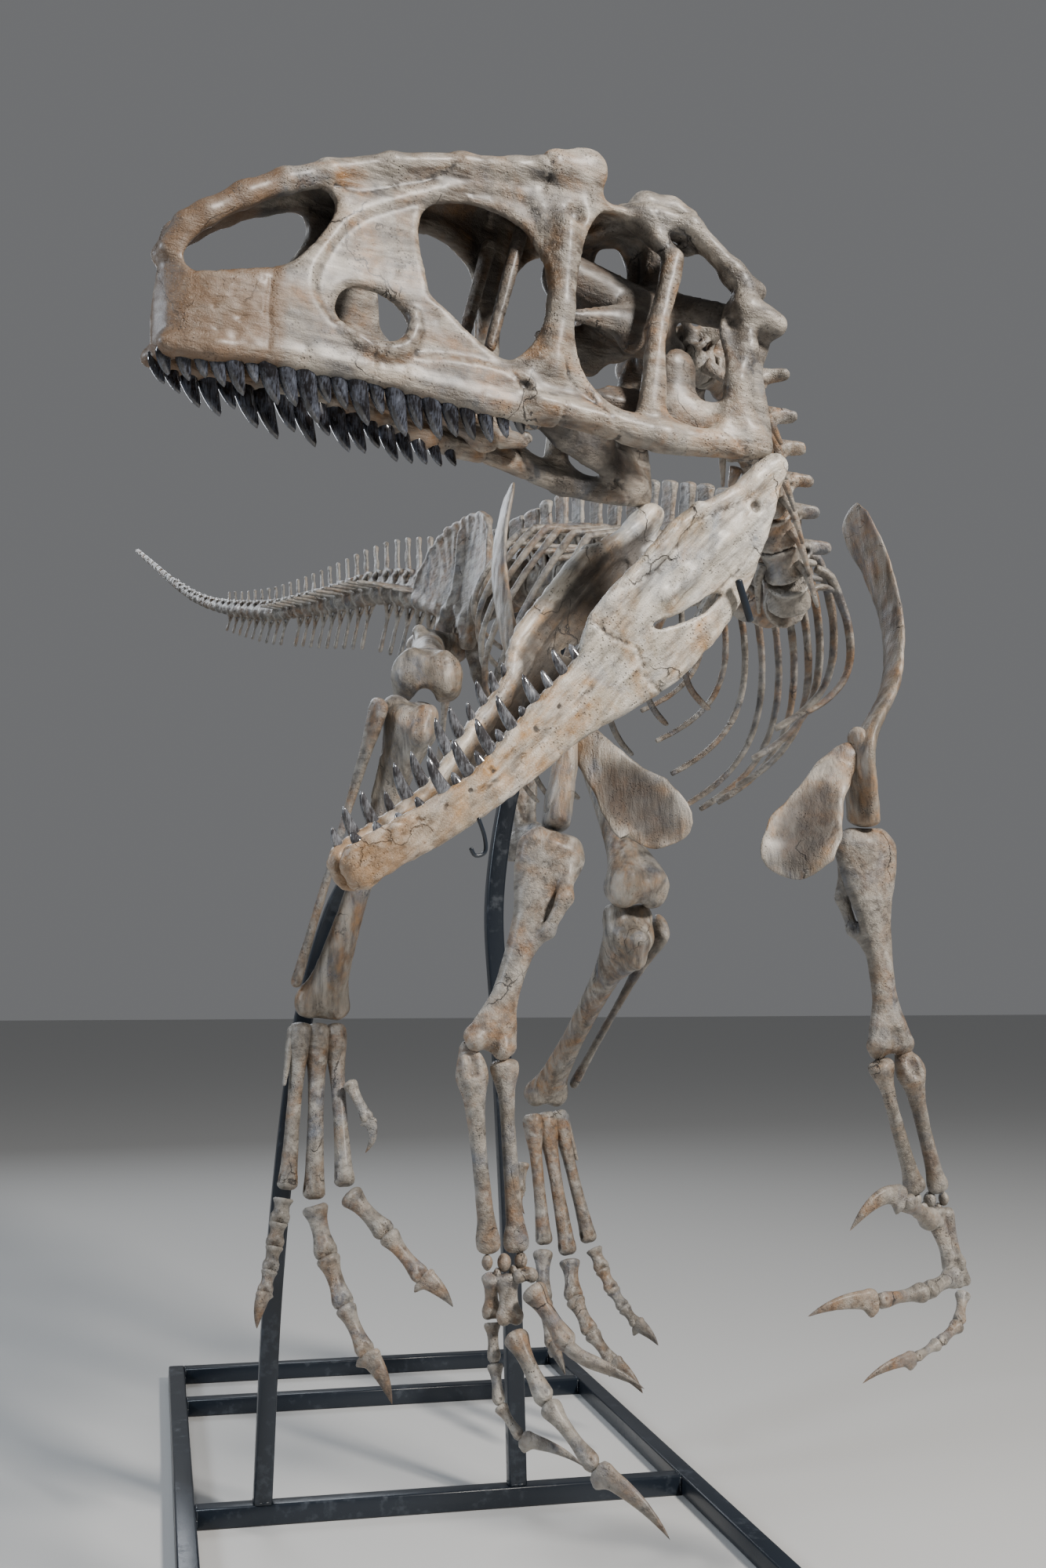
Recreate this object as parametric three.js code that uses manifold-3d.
import * as THREE from "three";
import { mergeVertices } from "three/addons/utils/BufferGeometryUtils.js";
import Module from "manifold-3d";

// A mounted Allosaurus skeleton on a steel floor frame, life-size and still.
// Millimetres, +X forwards along the frame, +Y the animal's left, +Z up, z = 0 the floor.
// The origin is on the floor, under the frame's main cross bar. The places below are measured
// from a point on the floor behind that bar, and the whole mount is moved back by its place.

const wasm = await Module();
wasm.setup();

// ---- driving dimensions ----

const gap = 0.4; // clearance between neighbouring solids
const bladeClear = 2.5; // clearance of half a spine from the middle plane, which curves

// The vertebral column's centre line, from the occipital condyle to the tip of the tail.
const spineRoute = [
  [1478, 62, 1996],
  [1398, 194, 1979],
  [1311, 262, 1903],
  [1223, 325, 1819],
  [1113, 386, 1735],
  [850, 372, 1815],
  [495, 336, 1925],
  [200, 286, 2005],
  [-130, 232, 2045],
  [-370, 190, 2062],
  [-620, 152, 2105],
  [-1321, 52, 2304],
  [-2176, -101, 2443],
  [-2878, -254, 2571],
  [-3751, -487, 2819],
  [-4635, -768, 3257],
];
const chestStart = 4; // index in spineRoute where the first dorsal vertebra begins
const cervicalCount = 9;
const dorsalCount = 14;
const dorsalPitch = 88;
const sacralCount = 5;
const sacralPitch = 92;
const caudalCount = 46;
const caudalPitchRatio = 0.62; // last caudal's length over the first one's
const tailLengths = [8, 10, 12, 16]; // caudals in each length of tail

// The skull's own frame: origin midway between the jaw joints, x to the snout, y left, z up.
const skullAt = [1463, 107, 1816];
const skullHeading = -69.8; // degrees about z
const jawGape = 46.7; // degrees that the lower jaw hangs open
const jawHalfWidth = 140;

// Joints of the limbs, and the routes of the shoulder blades and of the plates in front of them.
const joints = {
  left: {
    blade: [[832, 630, 1983], [880, 662, 1870], [930, 668, 1746], [990, 630, 1620], [1040, 552, 1500]],
    plate: [[1040, 540, 1508], [1046, 492, 1450], [1074, 440, 1372], [1098, 402, 1296], [1094, 398, 1216]],
    shoulder: [1014, 562, 1352],
    elbow: [1066, 580, 976],
    wrist: [1000, 672, 738],
    hip: [-393, 328, 1935],
    knee: [188, 420, 1275],
    ankle: [-390, 325, 807],
    footEnd: [-308, 372, 446],
    ankleDrop: 34,
  },
  right: {
    blade: [[843, -30, 1971], [898, -58, 1860], [950, -64, 1752], [1018, -50, 1630], [1074, 14, 1516]],
    plate: [[1076, 24, 1522], [1096, 70, 1448], [1126, 108, 1384], [1156, 146, 1322], [1152, 150, 1246]],
    shoulder: [1114, -12, 1326],
    elbow: [1150, -131, 992],
    wrist: [1154, -104, 690],
    hip: [-347, 52, 1935],
    knee: [486, -117, 1705],
    ankle: [270, -302, 1031],
    footEnd: [349, -312, 684],
    ankleDrop: 17,
  },
};

// Toe routes from the end of the metatarsals to the claw tips, inner toe first.
const toeRoutes = {
  right: [
    [[374, -248, 690], [420, -183, 623], [453, -126, 552], [489, -59, 487]],
    [[352, -312, 668], [381, -275, 531], [431, -224, 415], [474, -172, 312]],
    [[339, -370, 682], [353, -390, 575], [370, -406, 505], [377, -420, 441]],
  ],
  left: [
    [[-312, 308, 452], [-262, 296, 350], [-190, 300, 262], [-110, 312, 205]],
    [[-304, 372, 430], [-253, 376, 330], [-159, 427, 230], [-84, 489, 161]],
    [[-318, 436, 452], [-282, 468, 368], [-222, 505, 300], [-150, 548, 250]],
  ],
};
const halluxRoutes = {
  right: [[338, -246, 904], [366, -214, 843], [378, -206, 800], [380, -216, 766]],
  left: [[-360, 272, 658], [-352, 262, 606], [-338, 258, 566], [-336, 268, 534]],
};

// Finger routes from the metacarpals' far ends to the claw tips, thumb first.
const fingerRoutes = {
  left: [
    [[1028, 668, 694], [1075, 622, 727], [1100, 553, 749], [1122, 471, 704]],
    [[1016, 712, 612], [1062, 666, 598], [1116, 545, 596], [1144, 387, 579]],
    [[992, 736, 580], [1034, 702, 529], [1089, 595, 494], [1126, 485, 468]],
  ],
  right: [
    [[1170, -74, 664], [1210, -44, 600], [1252, -4, 556], [1298, 72, 523]],
    [[1163, -96, 596], [1208, -76, 530], [1296, -12, 430], [1382, 81, 343]],
    [[1133, -118, 600], [1153, -117, 535], [1187, -102, 450], [1258, -8, 410]],
  ],
};

// The floor frame and its posts, in square steel tube.
const frameTube = 42;
const frameLeft = 530;
const frameRight = -540;
const frameFront = 1150;
const crossBars = { rear: -1100, mid: -760, main: 110, front: 1129 };
const trunkPost = [[110, 150, 21], [110, 136, 500], [108, 112, 1000], [106, 100, 1300], [102, 160, 1620]];
const legPost = [
  [112, -385, 21], [150, -374, 467], [158, -343, 860], [164, -312, 1070], [204, -268, 1240], [316, -232, 1330],
];
const postThick = 38;

// ---- materials ----

function boneMaterial(color, roughness) {
  return new THREE.MeshStandardMaterial({ color, roughness, metalness: 0 });
}

const paleBone = boneMaterial(0xc9c3b8, 0.5);
const greyBone = boneMaterial(0xa9a49d, 0.55);
const warmBone = boneMaterial(0xb59d7f, 0.55);
const steel = new THREE.MeshStandardMaterial({ color: 0x2f3c47, roughness: 0.45, metalness: 0.9 });

// ---- small tools ----

const group = new THREE.Group();
const mount = new THREE.Group();
mount.position.x = -crossBars.main;
group.add(mount);

const vec = (p) => (p.isVector3 ? p.clone() : new THREE.Vector3(p[0], p[1], p[2]));
const mix = (a, b, t) => vec(a).lerp(vec(b), t);
const up = new THREE.Vector3(0, 0, 1);

// A closed skin through equal rings of points, with a fan at each end.
function skin(rings) {
  const sides = rings[0].length;
  const points = rings.flat();
  const faces = [];
  for (let i = 0; i + 1 < rings.length; i += 1) {
    for (let j = 0; j < sides; j += 1) {
      const a = i * sides + j;
      const b = i * sides + ((j + 1) % sides);
      faces.push(a, b, b + sides, a, b + sides, a + sides);
    }
  }
  const last = (rings.length - 1) * sides;
  for (let j = 1; j + 1 < sides; j += 1) {
    faces.push(0, j + 1, j);
    faces.push(last, last + j, last + j + 1);
  }
  const volume = faceVolume(points, faces);
  if (volume < 0) {
    faces.reverse();
  }
  const geometry = new THREE.BufferGeometry();
  const numbers = points.flatMap((p) => [p.x, p.y, p.z]);
  geometry.setAttribute("position", new THREE.Float32BufferAttribute(numbers, 3));
  geometry.setIndex(faces);
  return geometry;
}

function faceVolume(points, faces) {
  let volume = 0;
  const cross = new THREE.Vector3();
  for (let i = 0; i < faces.length; i += 3) {
    cross.crossVectors(points[faces[i + 1]], points[faces[i + 2]]);
    volume += points[faces[i]].dot(cross);
  }
  return volume;
}

// An oval ring of points about a centre, a and b its two half-axes as vectors.
function oval(centre, a, b, sides) {
  const ring = [];
  for (let j = 0; j < sides; j += 1) {
    const angle = (2 * Math.PI * (j + 0.5)) / sides;
    ring.push(vec(centre).addScaledVector(a, Math.cos(angle)).addScaledVector(b, Math.sin(angle)));
  }
  return ring;
}

// Directions across a path: wide leans towards the given direction, deep is square to it.
function across(tangent, wideHint) {
  const wide = vec(wideHint);
  wide.addScaledVector(tangent, -wide.dot(tangent)).normalize();
  const deep = new THREE.Vector3().crossVectors(tangent, wide);
  return { wide, deep };
}

// A bone between two joints. Each station is [share of the length, half width, half depth].
function bone(from, to, wideHint, stations, sides = 6) {
  const start = vec(from);
  const along = vec(to).sub(start);
  const { wide, deep } = across(along.clone().normalize(), wideHint);
  const rings = stations.map(([t, w, d]) => {
    const centre = start.clone().addScaledVector(along, t);
    return oval(centre, wide.clone().multiplyScalar(w), deep.clone().multiplyScalar(d), sides);
  });
  return skin(rings);
}

// A bar along a route of points, with half widths and half depths at each point.
function strap(route, wideHint, widths, depths, sides = 4) {
  const points = route.map(vec);
  const rings = points.map((point, i) => {
    const before = points[Math.max(i - 1, 0)];
    const after = points[Math.min(i + 1, points.length - 1)];
    const { wide, deep } = across(after.clone().sub(before).normalize(), wideHint);
    return oval(point, wide.multiplyScalar(widths[i]), deep.multiplyScalar(depths[i]), sides);
  });
  return skin(rings);
}

// A prism of a flat outline in x and z, from y0 to y1.
function prism(outline, y0, y1) {
  const shape = new THREE.Shape(outline.map(([x, z]) => new THREE.Vector2(x, z)));
  const geometry = new THREE.ExtrudeGeometry(shape, { depth: y1 - y0, bevelEnabled: false });
  geometry.rotateX(Math.PI / 2);
  geometry.translate(0, y1, 0);
  return geometry;
}

// A straight block between two corners.
function bar(x0, x1, y0, y1, z0, z1) {
  const block = new THREE.BoxGeometry(x1 - x0, y1 - y0, z1 - z0);
  return block.translate((x0 + x1) / 2, (y0 + y1) / 2, (z0 + z1) / 2);
}

function solid(geometry) {
  const bare = geometry.clone();
  bare.deleteAttribute("normal");
  bare.deleteAttribute("uv");
  const merged = mergeVertices(bare, 1e-3);
  const vertProperties = new Float32Array(merged.attributes.position.array);
  const triVerts = new Uint32Array(merged.index.array);
  return new wasm.Manifold(new wasm.Mesh({ numProp: 3, vertProperties, triVerts }));
}

function geometryOf(body) {
  const mesh = body.getMesh();
  const geometry = new THREE.BufferGeometry();
  geometry.setAttribute("position", new THREE.Float32BufferAttribute(mesh.vertProperties, 3));
  geometry.setIndex(Array.from(mesh.triVerts));
  return geometry;
}

function join(pieces) {
  const bodies = pieces.map(solid);
  return geometryOf(bodies.reduce((whole, body) => whole.add(body)));
}

function add(name, geometry, material) {
  const smooth = geometry.clone();
  smooth.computeVertexNormals();
  const mesh = new THREE.Mesh(smooth, material);
  mesh.name = name;
  mount.add(mesh);
}

// ---- the vertebral column ----

const spine = new THREE.CatmullRomCurve3(spineRoute.map(vec), false, "catmullrom", 0.5);
spine.arcLengthDivisions = 2000;
const spineLength = spine.getLength();

// Arc length at which the curve passes a point of its route.
function routeLength(index) {
  const lengths = spine.getLengths(2000);
  return lengths[Math.round((2000 * index) / (spineRoute.length - 1))];
}

// The frame of the column at arc length s: forward, left and up there.
function spineFrame(s) {
  const share = Math.min(Math.max(s / spineLength, 0), 1);
  const point = spine.getPointAt(share);
  const forward = spine.getTangentAt(share).negate();
  const left = new THREE.Vector3().crossVectors(up, forward).normalize();
  const top = new THREE.Vector3().crossVectors(forward, left);
  const at = (f, l, u) =>
    point.clone().addScaledVector(forward, f).addScaledVector(left, l).addScaledVector(top, u);
  return { forward, left, top, at };
}

const dorsalStart = routeLength(chestStart);
const dorsalEnd = dorsalStart + dorsalCount * dorsalPitch;
const sacralEnd = dorsalEnd + sacralCount * sacralPitch;

// Start and length of every vertebra in a run, with lengths that change evenly.
function vertebrae(start, end, count, ratio) {
  const first = (end - start) / (count * 0.5 * (1 + ratio));
  const list = [];
  let s = start;
  for (let i = 0; i < count; i += 1) {
    const length = first * (1 + ((ratio - 1) * (i + 0.5)) / count);
    list.push({ s, length, middle: s + length / 2 });
    s += length;
  }
  return list;
}

const neckEnd = dorsalStart - 7; // clear of the chest, towards which the end of the neck is tilted
const cervicals = vertebrae(22, neckEnd, cervicalCount, 1.15);
const dorsals = vertebrae(dorsalStart, dorsalEnd, dorsalCount, 1);
const sacrals = vertebrae(dorsalEnd, sacralEnd, sacralCount, 1);
const caudals = vertebrae(sacralEnd, spineLength, caudalCount, caudalPitchRatio);

// Outline of a vertebra in left and up, for half width w, depth h and the arch's top.
// side 0 is the whole outline, 1 or -1 one half of it, clear of the middle plane.
function bodyOutline(w, h, top, side) {
  const flank = [[w, -0.15 * h], [0.5 * w, top]];
  if (side === 0) {
    return [[0, -h], ...flank, ...flank.map(([l, u]) => [-l, u]).reverse()];
  }
  return [[0, -h], ...flank, [0, top]].map(([l, u]) => [side * (l + gap / 2), u]);
}

// The joined bodies of a run of vertebrae, as one tapering bar with a ring at each joint.
function column(run, size, side) {
  const end = run[run.length - 1];
  const places = [run[0].s + gap, ...run.slice(1).map(({ s }) => s), end.s + end.length - gap];
  const rings = places.map((place, i) => {
    const { w, h, arch } = size(Math.min(i, run.length - 1));
    const frame = spineFrame(place);
    return bodyOutline(w, h, h + arch, side).map(([l, u]) => frame.at(0, l, u));
  });
  return skin(rings);
}

// A wedge-shaped blade standing on the column, from height u0 to u1, half length f0 at its foot
// and f1 at its end, leaning back by lean. side works as in bodyOutline.
function blade(middle, u0, u1, f0, f1, thick, lean, side) {
  const frame = spineFrame(middle);
  const inner = side === 0 ? -thick : side * bladeClear;
  const outer = side === 0 ? thick : side * thick;
  const ridge = 0.5 * (inner + outer);
  const ring = (u, f, back) => [
    frame.at(f - back, ridge, u),
    frame.at(-f - back, outer, u),
    frame.at(-f - back, inner, u),
  ];
  return skin([ring(u0, f0, 0), ring(u1, f1, lean)]);
}

// Side processes of a vertebra, three-sided and swept back: both of them, or the one on the side
// given.
function wings(middle, side, u0, reach, rise, sweep, root, tip, thick) {
  const frame = spineFrame(middle);
  const ring = (l, u, back, f, t) => [
    frame.at(f - back, l, u),
    frame.at(-f - back, l, u - t),
    frame.at(-f - back, l, u + t),
  ];
  const end = (turn) => ring(turn * reach, u0 + rise, sweep, tip, 0.6 * thick);
  const foot = ring(side * gap, u0, 0, root, thick);
  return skin(side === 0 ? [end(-1), foot, end(1)] : [foot, end(side)]);
}

function neck() {
  const size = (i) => ({ w: 30 + 1.2 * i, h: 27 + 1.5 * i, arch: 32 });
  const pieces = [column(cervicals, size, 0)];
  cervicals.forEach(({ middle, length }, i) => {
    const { h } = size(i);
    if (i === cervicals.length - 1) {
      return; // the back bends up so sharply here that its processes would meet the chest's
    }
    if (i > 0) {
      pieces.push(blade(middle, h + 20, h + 66, 13, 9, 8, 4, 0));
    }
    pieces.push(wings(middle, 0, h + 8, 62, 22, 22, 24, 14, 12));
    [-1, 1].forEach((side) => {
      const frame = spineFrame(middle + 0.2 * length);
      const route = [frame.at(16, side * 20, -6), frame.at(-66, side * 50, -40)];
      pieces.push(strap(route, frame.top, [15, 6], [14, 5], 3));
    });
  });
  return join(pieces);
}

// How deep and how wide each rib of the chest reaches, first to last.
const ribDepth = (i) => 250 + 330 * Math.sin((Math.PI * Math.min(i / 6, 1)) / 2) - Math.max(0, i - 6) * 62;
const ribReach = (i) => 150 + 130 * Math.sin((Math.PI * Math.min(i / 7, 1)) / 2) - Math.max(0, i - 8) * 16;
const ribCount = 12;
const ribSteps = 4;

// One rib with the side process that carries it: out from its vertebra, round the chest and back
// to a free end.
function rib(i, side) {
  const frame = spineFrame(dorsals[i].middle);
  const root = i === 0 ? { f: -14, u: 50, wide: 9, arch: 64 } : { f: 2, u: 70, wide: 24, arch: 92 };
  const route = [frame.at(root.f, side * 18, root.u)];
  for (let k = 0; k <= ribSteps; k += 1) {
    const t = k / ribSteps;
    const angle = Math.PI * (0.16 + 0.66 * t);
    const l = ribReach(i) * Math.sin(angle) ** 0.8;
    const u = root.arch - ribDepth(i) * (t + 0.12 * Math.sin(Math.PI * t));
    route.push(frame.at(-0.24 * ribDepth(i) * t ** 1.4, side * l, u));
  }
  const widths = route.map((_, k) => (k === 0 ? root.wide : 16 - 5 * (k / ribSteps)));
  const depths = route.map((_, k) => (k === 0 ? 13 : 10 - 3.5 * (k / ribSteps)));
  return strap(route, frame.forward, widths, depths, 3);
}

function chestHalf(side) {
  const size = () => ({ w: 40, h: 44, arch: 42 });
  const pieces = [column(dorsals, size, side)];
  dorsals.forEach(({ middle }, i) => {
    const tall = 160 + 38 * Math.sin((Math.PI * Math.min(i + 0.5, 7)) / 14);
    const long = i === 0 ? 15 : 29;
    pieces.push(blade(middle, 74, tall, long - 3, long, 9, 8 + i, side));
    pieces.push(i < ribCount ? rib(i, side) : wings(middle, side, 74, 76, 20, 10, 26, 18, 9));
  });
  return join(pieces);
}

function sacrum() {
  const size = () => ({ w: 42, h: 46, arch: 50 });
  const pieces = [column(sacrals, size, 0)];
  sacrals.forEach(({ middle }) => {
    pieces.push(blade(middle, 80, 190, 44, 44, 9, 12, 0));
    pieces.push(wings(middle, 0, 34, 78, 8, 4, 26, 30, 26));
  });
  return join(pieces);
}

// Sizes of the tail's bones fall away towards the tip. Past these counts a kind of process ends.
const betweenHips = 2; // caudals whose side processes are held in by the hip blades
const lastSpine = 26;
const lastWing = 16;
const lastChevron = 26;
const caudalShare = (i) => 1 - i / caudalCount;
const caudalSize = (i) => {
  const share = caudalShare(i);
  return { w: 9 + 31 * share, h: 9 + 35 * share, arch: 3 + 30 * share };
};

function tailLength(first, count) {
  const run = caudals.slice(first, first + count);
  const pieces = [column(run, (i) => caudalSize(first + i), 0)];
  run.forEach(({ s, middle }, k) => {
    const i = first + k;
    const share = caudalShare(i);
    const { h, arch } = caudalSize(i);
    if (i < lastSpine) {
      const top = h + arch + 116 * share ** 1.25;
      pieces.push(blade(middle, h + arch - 8, top, 16 * share + 6, 10 * share + 5, 6, 34 * share, 0));
    }
    if (i < lastWing) {
      const reach = i < betweenHips ? 72 : 40 + 105 * share ** 1.6;
      pieces.push(wings(middle, 0, 0.5 * h, reach, 4, 18, 20 * share + 4, 12, 7));
    }
    if (i < lastChevron && k > 0) {
      const drop = 28 + 150 * share ** 1.5;
      pieces.push(blade(s, -0.6 * h, -h - drop, 9, 8 + 6 * share, 7, 60 * share + 12, 0));
    }
  });
  return join(pieces);
}

// ---- skull and lower jaw ----

const skullFrame = new THREE.Matrix4().makeRotationZ(THREE.MathUtils.degToRad(skullHeading));
skullFrame.setPosition(...skullAt);
const jawTurn = new THREE.Matrix4().makeRotationY(THREE.MathUtils.degToRad(jawGape));
const jawFrame = skullFrame.clone().multiply(jawTurn);

// Cross-sections of the skull: x, half width at the tooth row, at mid height and at the roof
// edge, then the heights of the lower edge and of the roof.
const skullSections = [
  [826, 12, 14, 8, 30, 78],
  [812, 30, 34, 18, 12, 130],
  [780, 44, 48, 28, 10, 182],
  [726, 52, 56, 34, 12, 218],
  [655, 58, 62, 38, 8, 260],
  [560, 66, 70, 44, 3, 305],
  [447, 80, 84, 54, 0, 338],
  [345, 94, 96, 70, -1, 352],
  [255, 104, 106, 96, -8, 372],
  [222, 110, 112, 92, -12, 330],
  [150, 122, 122, 88, -16, 342],
  [90, 134, 132, 92, -12, 322],
  [40, 142, 140, 100, -6, 250],
  [-20, 146, 144, 118, 0, 205],
];
const skullWall = 20;
const condyle = [36, 0, 184]; // the joint of the skull on the neck
const nape = { front: 68, halfWide: 106 }; // the space behind the braincase, open at the back

function skullRings(sections, inset) {
  return sections.map(([x, foot, mid, roof, low, high]) => {
    const tall = high - low - inset;
    const half = [
      [foot - inset, low - (inset > 0 ? 60 : 0)],
      [0.7 * mid + 0.3 * roof - inset, low + 0.66 * tall],
      [roof - inset, high - inset],
    ];
    const other = half.map(([y, z]) => [-y, z]).reverse();
    return half.concat(other).map(([y, z]) => new THREE.Vector3(x, y, z));
  });
}

const skullWindows = {
  nostril: [[788, 128], [776, 108], [677, 130], [640, 172], [608, 226], [622, 240], [662, 228], [725, 190]],
  maxillary: [[600, 108], [578, 130], [545, 132], [507, 104], [543, 66]],
  antorbital: [[496, 222], [478, 250], [395, 264], [352, 226], [333, 160], [346, 100], [371, 72], [430, 88]],
  orbit: [[237, 276], [205, 292], [158, 272], [163, 168], [192, 30], [222, 20], [252, 57], [275, 148]],
  temporal: [[112, 262], [63, 231], [54, 116], [62, 45], [85, 24], [138, 37], [147, 114]],
};
const roofWindow = { x: 112, y: 46, long: 36, wide: 30 };

// A recurved tooth with three sides, hanging down (turn 1) or standing up (turn -1).
function tooth(x, y, z, long, thick, turn) {
  const ring = (share, back, r) =>
    oval(
      [x - back, y, z - turn * long * share],
      new THREE.Vector3(r, 0, 0),
      new THREE.Vector3(0, 0.62 * r, 0),
      3,
    );
  return skin([ring(-0.2, 0, thick), ring(1, 0.3 * long, 0.15 * thick)]);
}

const upperTeeth = { count: 12, from: 806, to: 318, longest: 82 };
const lowerTeeth = { count: 12, from: 768, to: 400, longest: 62 };

// Half width of the skull's tooth row and of the jaw at x.
function between(table, x) {
  const i = table.findIndex(([place]) => place <= x);
  if (i <= 0) {
    return table[i < 0 ? table.length - 1 : 0][1];
  }
  const [x0, y0] = table[i - 1];
  const [x1, y1] = table[i];
  return y0 + ((y1 - y0) * (x - x0)) / (x1 - x0);
}

function toothRow(row, widthAt, baseAt, turn) {
  const pieces = [];
  for (let i = 0; i < row.count; i += 1) {
    const t = i / (row.count - 1);
    const x = row.from + (row.to - row.from) * t;
    const grown = 0.55 + 0.45 * Math.sin(Math.PI * Math.min(1, 1.25 * t + 0.12));
    const short = i % 3 === 2 ? 0.72 : 1;
    const long = row.longest * grown * (1 - 0.35 * t * t) * short;
    [-1, 1].forEach((side) => {
      pieces.push(tooth(x, side * widthAt(x), baseAt(x), long, 11 - 3 * t, turn));
    });
  }
  return pieces;
}

function skull() {
  const outer = solid(skin(skullRings(skullSections, 0)));
  const hollowSections = skullSections.filter(([x]) => x < 790).map((section) => section.slice());
  hollowSections[hollowSections.length - 1][0] -= 40; // open at the back
  const hollow = solid(skin(skullRings(hollowSections, skullWall)));
  let whole = outer.subtract(hollow);
  Object.values(skullWindows).forEach((outline) => {
    whole = whole.subtract(solid(prism(outline, -260, 260)));
  });
  const roofHole = (side) => {
    const { x, y, long, wide } = roofWindow;
    const low = oval([x, side * y, 200], vec([long, 0, 0]), vec([0, wide, 0]), 8);
    const high = low.map((p) => p.clone().setZ(460));
    return skin([low, high]);
  };
  [-1, 1].forEach((side) => {
    whole = whole.subtract(solid(roofHole(side)));
  });
  whole = whole.subtract(solid(bar(-90, nape.front, -nape.halfWide, nape.halfWide, -90, 400)));
  const sideWidth = skullSections.map(([x, foot]) => [x, foot - 8]);
  const parts = toothRow(upperTeeth, (x) => between(sideWidth, x), () => 8, 1);
  // braincase with the condyle, then on each side the process behind it, the horn before the eye,
  // the palate's bar and the post above the jaw joint
  const brainStations = [[0, 30, 26], [0.3, 46, 52], [0.76, 40, 48], [0.84, 21, 21], [1, 18, 18]];
  parts.push(bone([228, 0, 262], condyle, [0, 1, 0], brainStations));
  [-1, 1].forEach((side) => {
    const placed = (route) => route.map(([x, y, z]) => [x, side * y, z]);
    const process = placed([[72, 20, 240], [34, 84, 226], [-38, 146, 188]]);
    const horn = placed([[262, 88, 336], [258, 94, 360], [250, 98, 381]]);
    const palate = placed([[20, 132, 30], [110, 64, 60], [330, 26, 88], [600, 12, 60]]);
    const post = placed([[22, 132, 210], [8, 136, 110], [0, jawHalfWidth, 4]]);
    parts.push(strap(process, [0, 0, 1], [30, 28, 17], [12, 12, 10]));
    parts.push(strap(horn, [1, 0, 0], [42, 34, 16], [15, 13, 7]));
    parts.push(strap(palate, [0, 0, 1], [42, 30, 22, 16], [8, 8, 9, 9]));
    parts.push(strap(post, [0, 1, 0], [20, 22, 30], [16, 15, 20]));
  });
  parts.push(bone([800, 0, 40], [560, 0, 62], [0, 1, 0], [[0, 20, 14], [1, 16, 12]], 4));
  parts.forEach((piece) => {
    whole = whole.add(solid(piece));
  });
  return geometryOf(whole).applyMatrix4(skullFrame);
}

// Side outline of the lower jaw in its own frame, and its half width from the joint to the chin.
const jawTop = [
  [-20, -12], [60, -8], [150, 24], [216, 20], [346, 20], [392, -8], [530, -12], [648, -10], [776, 26], [812, 12],
];
const jawBottom = [
  [0, -46], [58, -84], [149, -123], [214, -137], [326, -135], [408, -110], [573, -81], [669, -64], [764, -36],
  [808, -30],
];
const jawWidth = [[812, 14], [740, 30], [600, 58], [300, 108], [0, 138], [-20, 138]];

function jawHalf(side) {
  const heights = (table, x) => between(table.slice().reverse(), x);
  const places = [-18, 50, 149, 216, 326, 400, 560, 669, 764, 806];
  const rings = places.map((x) => {
    const high = heights(jawTop, x) - (x < 30 ? 9 : 0);
    const low = heights(jawBottom, x);
    const thick = x < 380 ? 11 : 15;
    const y = between(jawWidth, x);
    const ring = [
      [y - thick, high - 6], [y + 0.3 * thick, high], [y + thick, 0.5 * (high + low)],
      [y + 0.2 * thick, low], [y - thick, low + 8],
    ];
    return ring.map(([l, z]) => new THREE.Vector3(x, side * Math.max(l, gap), z));
  });
  const pieces = [skin(rings)];
  const row = toothRow(lowerTeeth, (x) => between(jawWidth, x), (x) => heights(jawTop, x) - 2, -1);
  row.filter((_, k) => (side > 0 ? k % 2 === 1 : k % 2 === 0)).forEach((piece) => pieces.push(piece));
  return join(pieces).applyMatrix4(jawFrame);
}

// ---- pelvis ----

const pelvis = spineFrame(dorsalEnd + 3.2 * sacralPitch);
const pelvisFrame = new THREE.Matrix4()
  .makeBasis(pelvis.forward, pelvis.left, pelvis.top)
  .setPosition(pelvis.at(0, 0, 0));

// Side outline of the hip blade, forwards and up from the middle of the sacrum.
const hipBlade = [
  [322, 60], [310, 138], [225, 184], [40, 196], [-160, 172], [-310, 100], [-332, 26], [-200, -8],
  [-110, -30], [-82, -112], [-50, -56], [54, -56], [92, -132], [146, -96], [170, 0], [250, -34], [305, -24],
];
const hipInner = 92;
const hipThick = 22;
const hipFlare = 34; // how far the front of the blade leans out

function ilium(side) {
  const y0 = side > 0 ? hipInner : -hipInner - hipThick;
  const plate = prism(hipBlade, y0, y0 + hipThick);
  const place = plate.attributes.position;
  for (let i = 0; i < place.count; i += 1) {
    const lean = hipFlare * Math.max(0, place.getX(i) / hipBlade[0][0]) ** 2;
    place.setY(i, place.getY(i) + side * lean);
  }
  return geometryOf(solid(plate)).applyMatrix4(pelvisFrame);
}

// Pubes and ischia: two shafts each that meet below and end in a boot.
function pairedShafts(top, bottom, width, boot) {
  const pieces = [];
  [-1, 1].forEach((side) => {
    const route = [top, mix(top, bottom, 0.35), mix(top, bottom, 0.7), bottom].map((p, k) => {
      const point = vec(p);
      point.y = side * [82, 62, 34, 12][k];
      return point;
    });
    pieces.push(strap(route, [1, 0, 0], [width, 0.5 * width, 0.42 * width, 0.5 * width], [20, 17, 18, 16], 6));
  });
  pieces.push(strap(boot.route, [0, 0, 1], boot.heights, boot.widths, 6));
  return join(pieces).applyMatrix4(pelvisFrame);
}

const pubicBoot = {
  route: [[120, 0, -640], [200, 0, -618], [330, 0, -600], [436, 0, -570]],
  heights: [14, 36, 42, 20],
  widths: [12, 26, 28, 16],
};
const ischialBoot = {
  route: [[-420, 0, -500], [-360, 0, -520], [-300, 0, -520]],
  heights: [18, 30, 24],
  widths: [16, 24, 18],
};

// ---- limbs ----

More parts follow.
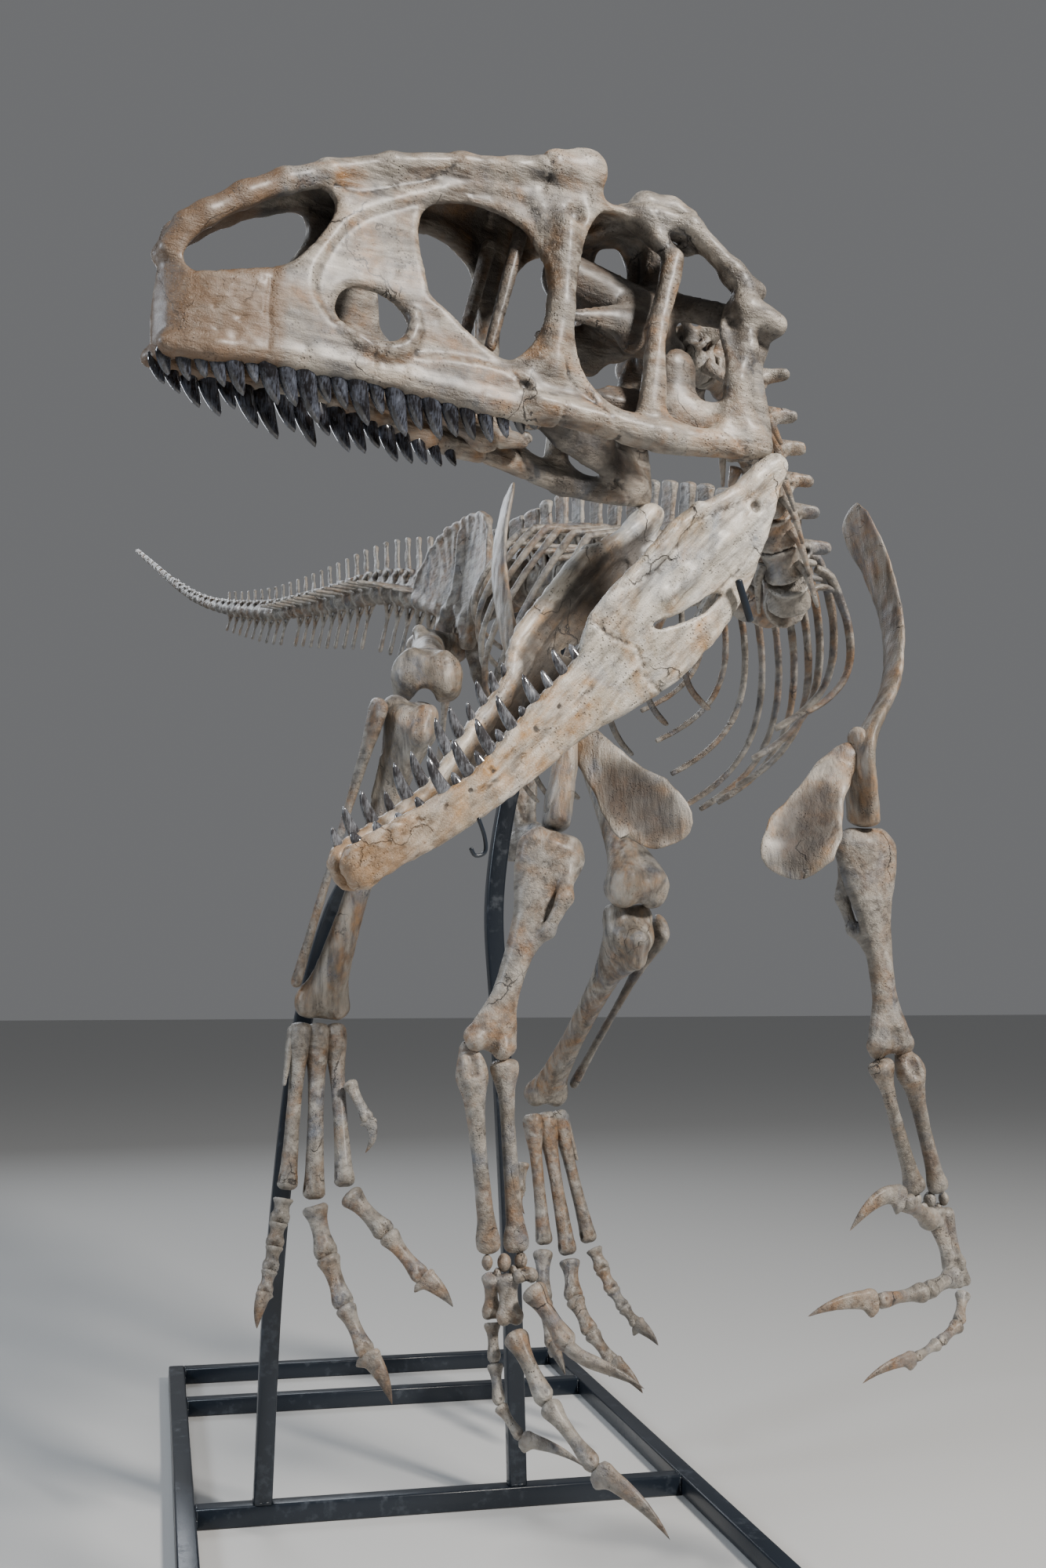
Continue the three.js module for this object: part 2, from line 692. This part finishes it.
function shoulderGirdle(side) {
  const { blade: bladeRoute, plate, shoulder } = joints[side];
  const socket = vec(shoulder).add(vec([0, 0, 16]));
  return join([
    strap([...bladeRoute, socket], [1, 0, 0.25], [56, 44, 38, 40, 48, 40], [8, 9, 11, 13, 17, 22], 6),
    strap(plate, [0.3, 1, 0], [34, 50, 62, 70, 40], [16, 15, 16, 14, 9], 8),
  ]);
}

function humerus(side) {
  const { shoulder, elbow } = joints[side];
  const lateral = side === "left" ? 1 : -1;
  const shaft = bone(shoulder, elbow, [0, 1, 0], [
    [0, 40, 24], [0.05, 60, 34], [0.2, 54, 30], [0.42, 25, 25], [0.7, 21, 21], [0.88, 38, 25], [0.95, 44, 26],
    [0.97, 34, 16],
  ]);
  const from = mix(shoulder, elbow, 0.1);
  const to = mix(shoulder, elbow, 0.48);
  const crest = [[0, 16, 30], [0.35, 40, 34], [0.7, 34, 26], [1, 8, 6]];
  const route = crest.map(([t, x, y]) => mix(from, to, t).add(vec([x, -lateral * y, 0])));
  return join([shaft, strap(route, [1, 0, 0], [14, 24, 22, 8], [10, 9, 9, 8], 6)]);
}

const forearm = {
  radius: {
    offset: 26,
    start: 0.025,
    widths: [[0, 22, 20], [0.08, 21, 19], [0.3, 12, 12], [0.7, 12, 12], [0.93, 20, 15], [1, 17, 12]],
  },
  ulna: {
    offset: -26,
    start: -0.02,
    widths: [[0, 17, 24], [0.14, 25, 27], [0.32, 15, 17], [0.7, 12, 12], [0.93, 19, 14], [1, 16, 11]],
  },
};

function forearmBone(side, name) {
  const { elbow, wrist } = joints[side];
  const { offset, start, widths } = forearm[name];
  const shift = vec([0, side === "left" ? -offset : offset, 0]);
  const from = mix(elbow, wrist, start).add(shift);
  const to = mix(elbow, wrist, 0.985).addScaledVector(shift, 0.82);
  return bone(from, to, [0, 1, 0], widths, 6);
}

function metacarpus(side) {
  const { elbow, wrist } = joints[side];
  const away = vec(wrist).sub(vec(elbow)).normalize();
  const start = vec(wrist).addScaledVector(away, 4);
  const below = start.clone().addScaledVector(away, 26);
  const carpals = bone(start, below, [0, 1, 0], [[0, 40, 16], [0.5, 46, 20], [1, 42, 17]]);
  const pieces = [carpals];
  fingerRoutes[side].forEach((route, k) => {
    const offset = vec([0, (side === "left" ? -1 : 1) * [26, 2, -22][k], 0]);
    const from = start.clone().addScaledVector(away, 18).add(offset);
    const to = mix(from, route[0], 0.96);
    const w = [17, 19, 12][k];
    const stations = [[0, w, 15], [0.5, 0.68 * w, 10], [0.85, w, 14], [1, 0.8 * w, 10]];
    pieces.push(bone(from, to, [0, 1, 0], stations, 4));
  });
  return join(pieces);
}

// A finger or toe along its route: joint heads with waists between, ending in a curved claw.
function digit(route, start, size, phalanges, clawShare, wideHint) {
  const curve = new THREE.CatmullRomCurve3(route.map(vec), false, "catmullrom", 0.5);
  const stops = [];
  const bodyEnd = 1 - clawShare;
  for (let k = 0; k < phalanges; k += 1) {
    const from = start + ((bodyEnd - start) * k) / phalanges;
    const step = (bodyEnd - start) / phalanges;
    const taper = 1 - 0.34 * (k / phalanges);
    stops.push([from, size * taper], [from + 0.5 * step, 0.64 * size * taper]);
  }
  stops.push([bodyEnd, 0.64 * size], [bodyEnd + 0.5 * clawShare, 0.5 * size], [1, 0.08 * size]);
  const points = stops.map(([t]) => curve.getPointAt(Math.min(t, 1)));
  const deep = stops.map(([, r]) => r);
  const wide = stops.map(([t, r]) => (t > bodyEnd ? 0.6 * r : 0.95 * r));
  return strap(points, wideHint, wide, deep, 4);
}

function femur(side) {
  const { hip, knee } = joints[side];
  const lateral = side === "left" ? 1 : -1;
  const outward = pelvis.left.clone().multiplyScalar(lateral);
  const top = vec(hip).addScaledVector(outward, 30);
  const shaft = bone(top, knee, pelvis.left, [
    [-0.045, 24, 26], [0, 36, 44], [0.1, 42, 46], [0.25, 38, 40], [0.5, 34, 36],
    [0.78, 42, 40], [0.9, 68, 56], [0.96, 74, 62], [0.985, 52, 46],
  ], 7);
  const headRoute = [-34, -8, 44].map((out) => vec(hip).addScaledVector(outward, out));
  const head = strap(headRoute, [1, 0, 0], [24, 42, 34], [22, 40, 32], 6);
  return join([shaft, head]);
}

const kneeDrop = 66; // from the middle of the knee to the head of the shin

// The shin's ends: clear of the thigh's rounded end above, at the ankle below.
function shin(side) {
  const { knee, ankle } = joints[side];
  const along = vec(ankle).sub(vec(knee)).normalize();
  const from = vec(knee).addScaledVector(along, kneeDrop);
  const to = vec(ankle).addScaledVector(along, -4);
  return { from, to, along };
}

function tibia(side) {
  const { from, to } = shin(side);
  return bone(from, to, pelvis.left, [
    [0, 46, 62], [0.05, 58, 76], [0.14, 44, 60], [0.3, 28, 34], [0.6, 25, 27], [0.85, 36, 28], [0.95, 60, 34],
    [1, 52, 30],
  ], 7);
}

function fibula(side) {
  const { from, to, along } = shin(side);
  const lateral = side === "left" ? 1 : -1;
  const { wide } = across(along, pelvis.left);
  const top = from.clone().addScaledVector(wide, lateral * 76).addScaledVector(along, 6);
  const bottom = mix(from, to, 0.93).addScaledVector(wide, lateral * 66);
  const stations = [[0, 12, 34], [0.06, 15, 38], [0.2, 10, 22], [0.5, 8, 12], [0.9, 9, 12], [1, 10, 12]];
  return bone(top, bottom, pelvis.left, stations);
}

function metatarsus(side) {
  const { ankle, footEnd, ankleDrop } = joints[side];
  const along = vec(footEnd).sub(vec(ankle)).normalize();
  const lateral = side === "left" ? 1 : -1;
  const { wide } = across(along, pelvis.left);
  const top = vec(ankle).addScaledVector(along, ankleDrop);
  const end = vec(footEnd).addScaledVector(along, -14);
  const pieces = [-1, 0, 1].map((k) => {
    const from = top.clone().addScaledVector(wide, lateral * 34 * k);
    const to = mix(toeRoutes[side][k + 1][0], end, 0.1).addScaledVector(along, k === 0 ? -6 : -12);
    const w = k === 0 ? 24 : 21;
    const stations = [[0, w, 34], [0.5, 0.66 * w, 20], [0.85, 1.05 * w, 25], [1, 0.8 * w, 19]];
    return bone(from, to, pelvis.left, stations, 5);
  });
  const splintTop = top.clone().addScaledVector(wide, lateral * 50).addScaledVector(along, 8);
  const splintEnd = splintTop.clone().addScaledVector(wide, lateral * 16).addScaledVector(along, 130);
  pieces.push(bone(splintTop, splintEnd, pelvis.left, [[0, 10, 15], [0.5, 7, 9], [1, 3, 4]], 4));
  return join(pieces);
}

// ---- stand ----

const halfTube = frameTube / 2;
const rearEnd = crossBars.rear - halfTube;

function crossBar(x) {
  const right = frameRight + halfTube + gap;
  const left = frameLeft - halfTube - gap;
  return bar(x - halfTube, x + halfTube, right, left, 0, frameTube);
}

// A bent post: a square section carried along a smooth route, cut flat above the frame.
function bentPost(route, thick) {
  const half = thick / 2;
  const section = new THREE.Shape([
    new THREE.Vector2(-half, -half),
    new THREE.Vector2(half, -half),
    new THREE.Vector2(half, half),
    new THREE.Vector2(-half, half),
  ]);
  const path = new THREE.CatmullRomCurve3(route.map(vec), false, "catmullrom", 0.5);
  const tube = new THREE.ExtrudeGeometry(section, { steps: 10, bevelEnabled: false, extrudePath: path });
  const below = bar(-2000, 2000, -2000, 2000, -500, frameTube + gap);
  return geometryOf(solid(tube).subtract(solid(below)));
}

// ---- the whole mount ----

const sideNames = { left: 1, right: -1 };

add("skull", skull(), paleBone);
add("neck", neck(), greyBone);
add("sacrum", sacrum(), greyBone);
add("pubes", pairedShafts([86, 0, -137], [286, 0, -590], 34, pubicBoot), greyBone);
add("ischia", pairedShafts([-86, 0, -109], [-340, 0, -508], 30, ischialBoot), greyBone);
let firstCaudal = 0;
tailLengths.forEach((count, i) => {
  add(`tail_${i + 1}`, tailLength(firstCaudal, count), greyBone);
  firstCaudal += count;
});
Object.entries(sideNames).forEach(([name, side]) => {
  add(`mandible_${name}`, jawHalf(side), paleBone);
  add(`chest_${name}`, chestHalf(side), greyBone);
  add(`ilium_${name}`, ilium(side), greyBone);
  add(`shoulder_girdle_${name}`, shoulderGirdle(name), warmBone);
  add(`humerus_${name}`, humerus(name), greyBone);
  add(`radius_${name}`, forearmBone(name, "radius"), greyBone);
  add(`ulna_${name}`, forearmBone(name, "ulna"), greyBone);
  add(`metacarpus_${name}`, metacarpus(name), greyBone);
  fingerRoutes[name].forEach((route, k) => {
    const [start, size, phalanges, clawShare] = [[0.07, 17, 1, 0.5], [0.04, 16, 2, 0.36], [0.02, 11, 3, 0.36]][k];
    const finger = digit(route, start, size, phalanges, clawShare, [1, 0, 0.3]);
    add(`finger_${k + 1}_${name}`, finger, greyBone);
  });
  add(`femur_${name}`, femur(name), warmBone);
  add(`tibia_${name}`, tibia(name), warmBone);
  add(`fibula_${name}`, fibula(name), greyBone);
  add(`metatarsus_${name}`, metatarsus(name), greyBone);
  add(`toe_1_${name}`, digit(halluxRoutes[name], 0, 14, 1, 0.42, pelvis.left), greyBone);
  toeRoutes[name].forEach((route, k) => {
    const toe = digit(route, 0, [24, 26, 22][k], [2, 3, 3][k], 0.26, pelvis.left);
    add(`toe_${k + 2}_${name}`, toe, greyBone);
  });
});

const sideBar = (y) => bar(rearEnd, frameFront, y - halfTube, y + halfTube, 0, frameTube);
add("stand_side_left", sideBar(frameLeft), steel);
add("stand_side_right", sideBar(frameRight), steel);
Object.entries(crossBars).forEach(([name, x]) => add(`stand_cross_${name}`, crossBar(x), steel));
const held = spineFrame(dorsalStart + 11.5 * dorsalPitch);
const trunkRoute = [...trunkPost, held.at(0, 0, -120), held.at(0, 0, -50)];
add("stand_post_trunk", bentPost(trunkRoute, postThick), steel);
add("stand_post_leg", bentPost(legPost, postThick), steel);

export default group;
